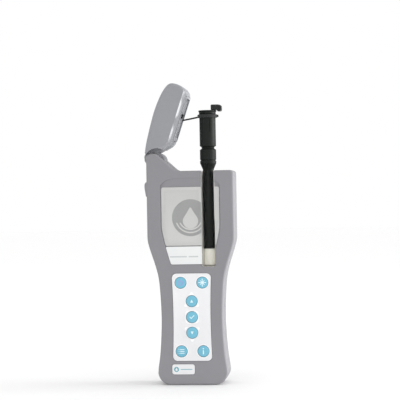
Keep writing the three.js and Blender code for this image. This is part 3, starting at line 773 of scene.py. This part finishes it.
def emblem(name, front, back):
    """A plain disc with a water drop and two ripples cut out of it."""
    x, z = 0.0, 137.4
    disc = slab(name, circle(x, z, 15.2), front, back)
    drop = slab("tool", drop_outline(x, z - 2.6, 6.4), *THROUGH)
    ripples = []
    for radius in (9.6, 12.2):
        ring = slab("tool", circle(x, z, radius + 0.55), *THROUGH)
        hole = slab("tool", circle(x, z, radius - 0.55), -21, -9)
        above = block(-30, 30, -22, -8, z - 4.0, z + 40)
        ripples.append(cut(ring, hole, above))
    return cut(disc, drop, *ripples)


def build_display():
    back = PLATE_FRONT + 0.7
    low, high = node_box("lcd_module")
    outline = window_outline(SPLIT + 0.2, HIGH_WINDOW, 0)
    pane = slab("window_pane", outline, PLATE_FRONT, back, 0.12, 0, 2)
    join(pane, slab("tool", sight_outline(DECK - 0.4, 0.3), PLATE_FRONT, back, 0.12, 0, 2))
    pane.visible_shadow = False
    place(pane, "case", PANE, "window", "display_window")

    outline = window_outline(LOW_WINDOW, SPLIT - 0.2, 0)
    label = slab("label_strip", outline, PLATE_FRONT, back, 0.12, 0, 2)
    cut(label, block(SIGHT_LEFT, 60, -20, 0, 80, 130))
    place(label, "case", LABEL, "panel_white", "display_label")
    rules = [rounded(x0, x1, 104.9, 106, 0.5, 4) for x0, x1 in ((-17.5, -3.4), (-2, 6))]
    lines = printed("label_rule", rules, PLATE_FRONT - 0.02, PLATE_FRONT + 0.1)
    place(lines, "case", RULE, "panel_white")

    outline = window_outline(SPLIT + 0.5, HIGH_WINDOW - 0.3, 0.3)
    border = slab("display_border", outline, back + 0.06, back + 0.16)
    view = slab("tool", window_outline(SPLIT + 2.8, HIGH_WINDOW - 2.8, 2.8, 1), *THROUGH)
    cut(view, block(high.x - 0.6, 60, -22, -8, 100, 180))
    cut(border, view, slab("tool", sight_outline(DECK + 4, 0), -20, -4))
    place(border, "case", MASK, "lcd")

    outline = window_outline(low.z, high.z, 2.4, 1.2)
    glass = slab("lcd_glass", outline, low.y, high.y, 0.2, 0.2, 3)
    cut(glass, block(high.x, 60, -20, 0, 100, 180))
    place(glass, "case", LCD, "lcd", "lcd_module")

    disc = emblem("display_graphic", low.y - 0.05, low.y - 0.01)
    cut(disc, block(high.x, 60, -22, -8, 100, 180))
    place(disc, "case", GREY_PRINT, "lcd")
    rest = emblem("display_graphic_edge", back + 0.02, back + 0.045)
    beside = [(-60, high.x - 0.6), (SIGHT_LEFT - 0.1, 60)]
    cut(rest, *[block(x0, x1, -22, -8, 100, 180) for x0, x1 in beside])
    place(rest, "case", GREY_PRINT, "lcd")


build_display()

# ---- keypad ----------------------------------------------

def soft_polygon(corners, radius, steps=6):
    """A convex outline with its corners rounded."""
    points = []
    for before, p, after in in_turn(corners):
        a, b = (before - p).normalized(), (after - p).normalized()
        half = math.acos(max(-1, min(1, a.dot(b)))) / 2
        reach = radius / math.tan(half)
        centre = p + (a + b).normalized() * (radius / math.sin(half))
        start, end = p + a * reach - centre, p + b * reach - centre
        first = math.atan2(start.y, start.x)
        sweep = (math.atan2(end.y, end.x) - first) % (2 * math.pi)
        for s in range(steps + 1):
            angle = first + sweep * s / steps
            points.append(tuple(centre + Vector((math.cos(angle), math.sin(angle))) * radius))
    return points


def arrow(x, z, way, half, low, high, *rounding):
    """A triangle that points up where `way` is 1, and down where it is -1."""
    corners = [(x + half, z - low * way), (x, z + high * way), (x - half, z - low * way)]
    return soft_polygon(corners[::way], *rounding)


ARROWS = {"key_up": 1, "key_down": -1}


def halo_outlines(name):
    """The white print round each key: rings, and arrow shapes round the up and down keys."""
    x, z = middle(name)
    if name in ARROWS:
        return [arrow(x, z, ARROWS[name], 6.9, 4.7, 8.9, 1.1), circle(x, z, 5.3)]
    if name == "key_enter":
        return [rounded(x - 5.5, x + 5.5, z - 5.3, z + 5.3, 2.6)]
    return [circle(x, z, 5.7)]


OVERLAY_FRONT = node_box("keypad_overlay")[0].y
SYMBOL_FRONT = node_box("key_up")[0].y + 0.08


def symbol_outlines(name):
    """Plain symbols: open ring and bar, star, arrows, tick, list, and a dot over a bar."""
    x, z = middle(name)
    if name == "key_power":
        ring = arc(x, z, 2.3, 125, 415, 32) + arc(x, z, 1.6, 415, 125, 32)
        return [ring, rounded(x - 0.35, x + 0.35, z + 0.3, z + 2.7, 0.3, 3)]
    if name == "key_light":
        rays = []
        for i in range(4):
            a = math.pi * i / 4
            u, v = Vector((math.cos(a), math.sin(a))), Vector((-math.sin(a), math.cos(a)))
            long, wide = (3.2, 0.36) if i % 2 == 0 else (2.5, 0.3)
            ends = [u * i * long + v * j * wide for i, j in ((1, -1), (1, 1), (-1, 1), (-1, -1))]
            rays.append([(x + p.x, z + p.y) for p in ends])
        return rays
    if name in ARROWS:
        return [arrow(x, z, ARROWS[name], 1.25, 1.1, 1.5, 0.2, 3)]
    if name == "key_enter":
        tick = [(-2.1, 0.15), (-0.6, -1.5), (2.2, 1.35), (1.75, 1.8), (-0.6, -0.6), (-1.65, 0.6)]
        return [[(x + a, z + b) for a, b in tick]]
    if name == "key_program":
        spots = [(x0, x1, r) for x0, x1 in ((-1.2, 2.4), (-2.4, -1.75)) for r in (1.5, 0, -1.5)]
        return [rounded(x + a, x + b, z + r - 0.32, z + r + 0.32, 0.22, 3) for a, b, r in spots]
    return [rounded(x - 0.45, x + 0.45, z - 2.5, z + 0.9, 0.3, 3), circle(x, z + 2.1, 0.6, 24)]


def build_keypad():
    sheet = slab("keypad_film", panel_outline(0), OVERLAY_FRONT, OVERLAY_FRONT + 0.4, 0.08, 0, 2)
    cut(sheet, *[bar(middle(k), KEY_HOLE, *THROUGH) for k in KEYS])
    place(sheet, "case", WHITE, "panel_white", "keypad_overlay")

    for name in KEYS:
        depths = (OVERLAY_FRONT - 0.05, OVERLAY_FRONT + 0.02)
        halo = printed("halo_" + name, halo_outlines(name), *depths)
        cut(halo, bar(middle(name), KEY_HOLE, *THROUGH))
        place(halo, "case", PRINT, "panel_white")

        low, high = node_box(name)
        face, foot, r = -low.y, -high.y, KEY_RADIUS
        cap = turned(
            name + "_cap",
            [(0, foot), (5.6, foot), (5.6, foot + 0.8), (r, foot + 0.8), (r, face - 0.78),
             (r - 0.06, face - 0.6), (r - 0.22, face - 0.43), (r - 0.48, face - 0.3),
             (r - 0.85, face - 0.22), (3.2, face - 0.17), (2.6, face - 0.15), (1.2, face - 0.14),
             (0, face - 0.14)],
            middle(name), 72, "Y",
        )
        place(cap, name, KEY, "key_blue", name, angle=40)
        depths = (SYMBOL_FRONT, SYMBOL_FRONT + 0.24)
        mark = printed(name + "_symbol", symbol_outlines(name), *depths)
        place(mark, name, VIOLET if name == "key_power" else SYMBOL, "key_blue")

    low, high = node_box("name_plate")
    outline = rounded(low.x, high.x, low.z, high.z, 1.8)
    badge = slab("name_plate_blank", outline, low.y, high.y, 0.1, 0, 2)
    place(badge, "case", WHITE, "panel_white", "name_plate")
    x, z = low.x + 3.5, (low.z + high.z) / 2
    shapes = [circle(x, z, 2.1, 48), rounded(x + 3.4, high.x - 2, z - 0.3, z + 0.3, 0.28, 4)]
    mark = printed("name_plate_mark", shapes, low.y - 0.02, low.y + 0.1)
    cut(mark, slab("tool", drop_outline(x, z - 0.35, 0.95, 28), *THROUGH))
    place(mark, "case", TEAL_PRINT, "panel_white")


build_keypad()

# ---- lid -------------------------------------------------

LID_RIM = 177.2
LID_CLEAR = 10.2  # radius kept clear of the lid's shell round the hinge
LID_HALF = 9  # half the width of the lid's hinge barrel
LID_AWAY = 5.3  # from the hinge's axis to the lid's slanted edge
OPEN = math.radians(71.5)
SLANT = Vector((EAR_RIGHT - EAR_LEFT, DECK - EAR_TOP)).normalized()  # down the ear's edge
TO_LID = Vector((-SLANT.y, SLANT.x))
FACET_DEEP, FACET_TALL = 1.75, 3.4


def on_diagonal(away, z):
    """The point at height z on the line that runs `away` from the hinge, along the slant."""
    return ((away - (z - HINGE_Z) * TO_LID.y) / TO_LID.x + HINGE_X, z)


def opened(made):
    """Turns a piece drawn on the closed lid to the lid's place at rest."""
    pivot = Vector((HINGE_X, 0, HINGE_Z)) * MM
    swing = Matrix.Translation(pivot) @ Matrix.Rotation(-OPEN, 4, "Y") @ Matrix.Translation(-pivot)
    made.data.transform(swing)
    return made


def lid_outline():
    crown = [(34.2, 178.4), (37, 182.6), (37.8, 189), (36.2, 193.9), (31.2, 196.6), (22.9, 198.3),
             (8.7, 199.1), (-13.9, 197.7), (-24, 196.2)]
    low, high = on_diagonal(LID_AWAY, LID_RIM + 1.6), on_diagonal(LID_AWAY, 193)
    return [(low[0] + 3.2, LID_RIM), (31.4, LID_RIM), *spline(crown, 8), high, low]


def lid_hollow():
    left, turn = (on_diagonal(LID_AWAY + WALL, z) for z in (LID_RIM - 4, 183.9))
    return [left, (31.2, LID_RIM - 4), (31.2, LID_RIM + 0.8), (34.6, 184), (35.2, 189),
            (33.8, 192.4), (29.6, 194.6), (22.6, 196), (8.7, 196.8), (turn[0], 195.4), turn]


def facet_cutter(side, start, along, out):
    """Cuts the slanted facet between a side of the lid and the edge through `start`."""
    y = FACE if side < 0 else BACK
    reach = 4  # how far the tool stands outside the lid
    section = (
        (y + side * reach, reach),
        (y - side * FACET_DEEP * (1 + reach / FACET_TALL), reach),
        (y + side * reach, -FACET_TALL * (1 + reach / FACET_DEEP)),
    )
    rings = []
    for end in (-60, 60):
        here = start + along * end
        rings.append([((here + out * d).x, py, (here + out * d).y) for py, d in section])
    return skin("tool", rings)


def build_lid():
    dome = slab("lid_shell_outer", lid_outline(), FACE, BACK, LID_EDGE, steps=8)
    hollow = slab("tool", lid_hollow(), FACE + WALL, BACK - WALL)
    facets = []
    for side in (-1, 1):
        facets.append(facet_cutter(side, Vector((0, LID_RIM)), Vector((1, 0)), Vector((0, -1))))
        start = Vector(HINGE) + TO_LID * LID_AWAY
        facets.append(facet_cutter(side, start, SLANT, -TO_LID))
    sweeps = [bar(HINGE, LID_CLEAR, *ys) for ys in ((FACE - 1, -LID_HALF), (LID_HALF, BACK + 1))]
    cut(dome, hollow, *facets, *sweeps)
    tail = [(HINGE_X + 3, HINGE_Z + 4), (-16.4, 184.5), (-16.4, 196.6), (-24, 196.2),
            (-27.4, 196.4), (-30.8, 194.9), (-33.6, 191.4), (-33.6, HINGE_Z),
            (HINGE_X, HINGE_Z - 2)]
    arm = slab("tool", tail, -LID_HALF, LID_HALF, 0.6, steps=3)
    half, edge = LID_HALF, 0.4
    profile = [(0, -half), (BARREL - edge, -half), (BARREL, -half + edge), (BARREL, half - edge),
               (BARREL - edge, half), (0, half)]
    join(dome, arm, turned("tool", profile, HINGE, 64, "Y"))
    cut(dome, bar(HINGE, PIN_BORE, -20, 20))
    place(opened(dome), "lid", LID_SHELL_PAINTED_LIGHT, "shell", "lid_shell")


build_lid()

# ---- probe -----------------------------------------------

NECK, STEM, BORE = 6.75, 4.6, 3.2  # radii
GROOVE = 194.9  # height of the neck's deep groove
CAP_BASE = TUBE_HIGH + 0.35


def build_probe():
    low, neck, foot = TUBE_LOW, NECK, 4.78
    fine = [(foot, low + 0.2), (foot, low + 0.8), (4.7, low + 1.1), (4.62, low + 1.7)]
    taper = [(4.68, 177.4), (4.9, 177.9), (neck - 0.25, 181.6), (neck - 0.05, 182.1)]
    rings = [(neck, 182.6), (neck, 183.9), (neck - 0.1, 184.1), (neck - 0.5, 184.3),
             (neck - 0.5, 184.9), (neck - 0.1, 185.1), (neck, 185.3), (neck, 187.6),
             (neck - 0.07, 187.75), (neck, 187.9)]
    half_groove = [(0, 1.6), (0.15, 1.4), (0.9, 1.05), (1.35, 0.6)]
    groove = [(neck - deep, GROOVE - up) for deep, up in half_groove]
    groove += [(neck - 1.6, GROOVE)]
    groove += [(neck - deep, GROOVE + up) for deep, up in reversed(half_groove)]
    tube = turned(
        "probe_body",
        [(BORE, low), (4.6, low), *fine, (STEM, low + 2), (STEM, 176.9), *taper, *rings, *groove,
         (neck, TUBE_HIGH - 0.3), (neck - 0.3, TUBE_HIGH), (BORE, TUBE_HIGH), (BORE, low)],
        PROBE_AXIS, 96,
    )
    x = PROBE_X
    upper = block(x + 2, x + 2.8, -8, -NECK + 0.9, 208, 219)
    lower = block(x - 0.4, x + 0.4, -8, -STEM + 0.7, 168, 182)
    cut(tube, upper, lower)
    place(tube, "probe", PROBE_BLACK, "black_plastic", "probe_tube", angle=28)

    b = CAP_BASE
    cap = turned(
        "probe_cap_disc",
        [(0, b - 4), (BORE - 0.5, b - 4), (BORE - 0.3, b - 3.8), (BORE - 0.3, b), (6.9, b),
         (7, b + 0.15), (7, b + 1.7), (7.2, b + 1.9), (7.45, b + 2.05), (7.5, b + 2.2),
         (7.5, b + 2.7), (7.42, b + 2.9), (7.2, b + 3.05), (6.2, b + 3.1), (0, b + 3.1)],
        PROBE_AXIS, 96,
    )
    cut(cap, bar((PROBE_X - 2.5, b + 0.95), 0.9, -12, -5.4, 32))
    place(cap, "probe", PROBE_BLACK, "black_plastic", "probe_cap")

    low, high = node_box("pull_tab")
    right, base, top = high.x, high.z - 4.3, high.z
    finger = [(3.9, base), (3.5, low.z + 0.2), (3.2, low.z), (1.1, low.z), (0.5, low.z + 0.25),
              (0.1, base - 0.5), (0, base), (0, base + 2.6), (0.2, base + 3.2),
              (0.8, base + 3.8), (1.8, base + 4.1), (3, top)]  # x is counted from the right
    outline = [(low.x, base), *[(right - x, z) for x, z in finger]]
    outline += [(low.x + 0.6, top), (low.x, top - 0.5)]
    tab = slab("pull_tab_grip", outline, low.y, high.y, 0.45, steps=3)
    ribs = []
    for i in range(5):
        z = base - 0.5 + i * 0.8
        ribs.append(block(right - 0.35, right + 2, -6, 6, z - 0.14, z + 0.14))
        ribs.append(block(low.x + 1, right + 2, low.y - 2, low.y + 0.25, z - 0.14, z + 0.14))
    cut(tab, *ribs)
    place(tab, "probe", RUBBER, "rubber", "pull_tab")

    tip, end, bore = node_box("clear_tip")[0].z, TUBE_LOW, BORE - 0.3
    vial = turned(
        "clear_tip_vial",
        [(0, tip), (2.9, tip), (3.4, tip + 0.1), (3.8, tip + 0.3), (4.1, tip + 0.7),
         (4.22, tip + 1.1), (4.25, tip + 1.6), (4.25, end - 0.5), (4.15, end - 0.3),
         (bore, end - 0.3), (bore, end + 4), (bore - 0.8, end + 4), (bore - 0.8, end - 1.6),
         (3.35, end - 2.4), (3.35, tip + 1.9), (3.1, tip + 1.4), (2.4, tip + 1.15),
         (0, tip + 1.1)],
        PROBE_AXIS, 80,
    )
    place(vial, "probe", CLEAR, "clear_plastic", "clear_tip", angle=45)


build_probe()


def build_tether():
    high, outer, inner = TUBE_HIGH, NECK + 1.5, NECK + 0.35
    band = turned(
        "tether_ring",
        [(inner, high - 2.6), (outer - 0.3, high - 2.6), (outer, high - 2.3), (outer, high - 0.3),
         (outer - 0.3, high), (inner, high), (inner, high - 2.6)],
        PROBE_AXIS, 80,
    )
    join(band, block(PROBE_X + 7.4, PROBE_X + 9.2, -1.5, 1.5, high - 2.2, high - 0.3, 0.3))
    place(band, "tether", RUBBER, "rubber", "tether_band")

    route = [(-7.6, 9.6, 218.8), (-3.2, 8.9, 219.5), (2.4, 7.4, 220.4), (PROBE_X - 6.9, 5.2, 221.2)]
    a, b, c, d = (Vector(p) for p in route)
    line = [Vector(p) for p in spline(route, 8, (a * 2 - b, d * 2 - c))]
    section = rounded(-0.6, 0.6, -1.2, 1.2, 0.45, 4)
    rings = []
    for i, here in enumerate(line):
        ahead = (line[min(i + 1, len(line) - 1)] - line[max(i - 1, 0)]).normalized()
        side = ahead.cross(Vector((0, 0, 1))).normalized()
        up = side.cross(ahead)
        rings.append([tuple(here + up * u + side * v) for u, v in section])
    place(skin("tether_strip", rings), "tether", RUBBER, "rubber", "tether_strap")


build_tether()

# ---- well, doors and screws ------------------------------

TAPER_LOW = 177.5  # foot of the neck's taper on the raised probe
PROBE_DROP = 41  # how far the probe sinks as the lid shuts


def build_well():
    wide, narrow, wall = NECK + 0.35, STEM + 0.35, 1.5
    floor = node_box("probe_well")[0].z + 2
    step = TAPER_LOW - PROBE_DROP - 1
    flange = wide + wall + 1.2
    sleeve = turned(
        "well_sleeve",
        [(0, floor - 2), (narrow + wall, floor - 2), (narrow + wall, step - 2),
         (wide + wall, step + 2), (wide + wall, DECK - 0.7), (flange - 0.3, DECK - 0.7),
         (flange, DECK - 0.55), (flange, DECK - 0.25), (flange - 0.25, DECK),
         (wide + 0.3, DECK), (wide, DECK - 0.3), (wide, step + 5), (narrow, step),
         (narrow, floor), (0, floor)],
        PROBE_AXIS, 80,
    )
    cheek, front_y, top = 1.2, FACE + WALL + 0.3, DECK - WALL - 0.3
    left, right = SIGHT_LEFT, SIGHT_RIGHT
    cheeks = block(left - cheek, right + cheek, front_y, -1, SIGHT_LOW - cheek, top)
    cut(cheeks, block(left, right, front_y - 1, 0, SIGHT_LOW, top + 1))
    join(sleeve, cheeks)
    profile = [(0, floor), (narrow, floor), (narrow, step), (wide, step + 5), (wide, DECK + 1),
               (0, DECK + 1)]
    cut(sleeve, turned("tool", profile, PROBE_AXIS, 80))
    front = block(PROBE_X - narrow, PROBE_X + narrow, -20, -1, SIGHT_LOW, 180)
    light = turned("tool", [(0, 0), (2.4, 0), (2.4, PROBE_X), (0, PROBE_X)], (0, 66), 32, "X")
    cut(sleeve, front, light)
    place(sleeve, "case", WELL_PLASTIC, "well_plastic", "probe_well")


build_well()


def build_back():
    low, high = node_box("battery_door")
    outline = rounded(low.x, high.x, low.z, high.z, 3)
    door = slab("battery_door_leaf", outline, low.y, high.y, 0.15, 0.4, 4)
    profile = [(0, -7), (5.6, -7), (6, -6.6), (6, 6.6), (5.6, 7), (0, 7)]
    thumb = turned("tool", profile, (high.y + 5.2, high.z - 7), 64, "X")
    grooves = []
    for i in range(4):
        z = high.z - 16 - 1.6 * i
        grooves.append(block(-8, 8, high.y - 0.35, high.y + 2, z - 0.5, z))
    cut(door, thumb, *grooves)
    place(door, "battery_door", SHELL, "shell", "battery_door")

    for i, name in enumerate(SCREWS, 1):
        foot, top = (c.y for c in node_box(name))
        screw = turned(
            name + "_pan",
            [(0, foot), (1.2, foot), (1.2, top - 1.4), (2.6, top - 1.4), (2.6, top - 0.5),
             (2.45, top - 0.25), (2.1, top - 0.08), (1.5, top), (0, top)],
            sides=48,
        )
        for turn in (0, math.pi / 2):
            slot = block(-1.6, 1.6, -0.3, 0.3, top - 0.7, top + 1)
            slot.data.transform(Matrix.Rotation(turn + 0.4 * i, 4, "Z"))
            cut(screw, slot)
        x, z = middle(name)
        to_back = Matrix.Rotation(-math.pi / 2, 4, "X")
        screw.data.transform(Matrix.Translation((x * MM, 0, z * MM)) @ to_back)
        place(screw, "case", STEEL, "steel", name)

    low, high = node_box("port_cover")
    wall, top = -HEAD, high.z
    profile = [(0.3, low.z), (0.3, top), (1, top), (1.5, top - 0.45), (2.2, top - 1.7),
               (2.3, top - 2.2), (2.3, top - 4.8), (2.2, top - 5.5), (1.2, low.z)]
    flap = slab("port_flap", [(wall - x, z) for x, z in profile], low.y, high.y, 0.3, steps=3)
    join(flap, block(wall - 1, wall + 0.9, low.y + 2.3, high.y - 2.3, low.z + 2.4, top - 2.4))
    place(flap, "port_cover", GREY_RUBBER, "rubber", "port_cover")

    back, front = (-c.y for c in reversed(node_box("hinge_pin")))
    profile = [(0, back), (1.2, back), (1.5, back + 0.3), (1.5, front - 0.3), (1.2, front),
               (0, front)]
    pin = turned("hinge_pin_rod", profile, HINGE, 40, "Y")
    place(pin, "case", STEEL, "steel", "hinge_pin")


build_back()

# ---- CAD nodes shown as they are -------------------------

KEPT = (
    (RUBBER, "keypad_mat tether_anchor"),
    (BOARD, "main_board"),
    (BLACK, "buzzer detector_block battery_tray"),
    (STEEL, "usb_connector photodiode battery_contact battery_spring_1 battery_spring_2"),
    (CELL, "battery_cell_1 battery_cell_2"),
    (LINER, "lid_liner"),
    (GREY_RUBBER, "lid_seal"),
    (CLEAR, "light_guide"),
)


def finish_nodes():
    for look, names in KEPT:
        for name in names.split():
            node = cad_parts[name]
            for slot in node.material_slots:
                slot.material = look.mat
            if name.startswith("battery_spring"):
                continue
            edges = node.modifiers.new("edges", "BEVEL")
            edges.width = 0.2 * MM
            edges.segments = 2
            edges.limit_method = "ANGLE"
            edges.angle_limit = math.radians(40)
            edges.harden_normals = True


finish_nodes()

# ---- stage -----------------------------------------------

FLOOR_HALF = 6000
LIGHTS_AIM = Vector((0, 0, 0.12))
LIGHTS = (  # name, place, size in metres, watts
    ("right_softbox", (1.2, 0.12, 0.3), 0.7, 13),
    ("top_softbox", (-0.3, -0.7, 1.1), 0.9, 0.5),
)


def add_stage():
    world = bpy.data.worlds.new("studio")
    SCENE.world = world
    world.use_nodes = True
    sky = world.node_tree.nodes["Background"]
    sky.inputs["Color"].default_value = (1, 1, 1, 1)
    corners = [(x * FLOOR_HALF, y * FLOOR_HALF, 0) for x, y in ((-1, -1), (1, -1), (1, 1), (-1, 1))]
    floor = piece("floor", corners, [(0, 1, 2, 3)])
    look = Look("floor_white", Roughness=0.9)
    reach = look.node("ShaderNodeVectorMath", {"operation": "LENGTH"}, Vector=look.coords)
    # Painted light: the floor is painted lighter with distance from the object, to even out the
    # lamps' falloff across it.
    far = look.remap(reach.outputs["Value"], 0, 1, 0.05, 0.4)
    look.paint(look.mix(far, (0.85, 0.85, 0.85, 1), (0.99, 0.99, 0.99, 1)))
    floor.data.materials.append(look.mat)
    for name, spot, size, watts in LIGHTS:
        data = bpy.data.lights.new(name, "AREA")
        data.shape = "SQUARE"
        data.size = size
        data.energy = watts
        turn = (Vector(spot) - LIGHTS_AIM).to_track_quat("Z", "Y").to_matrix()
        add(name, data).matrix_world = Matrix.Translation(spot) @ turn.to_4x4()


add_stage()
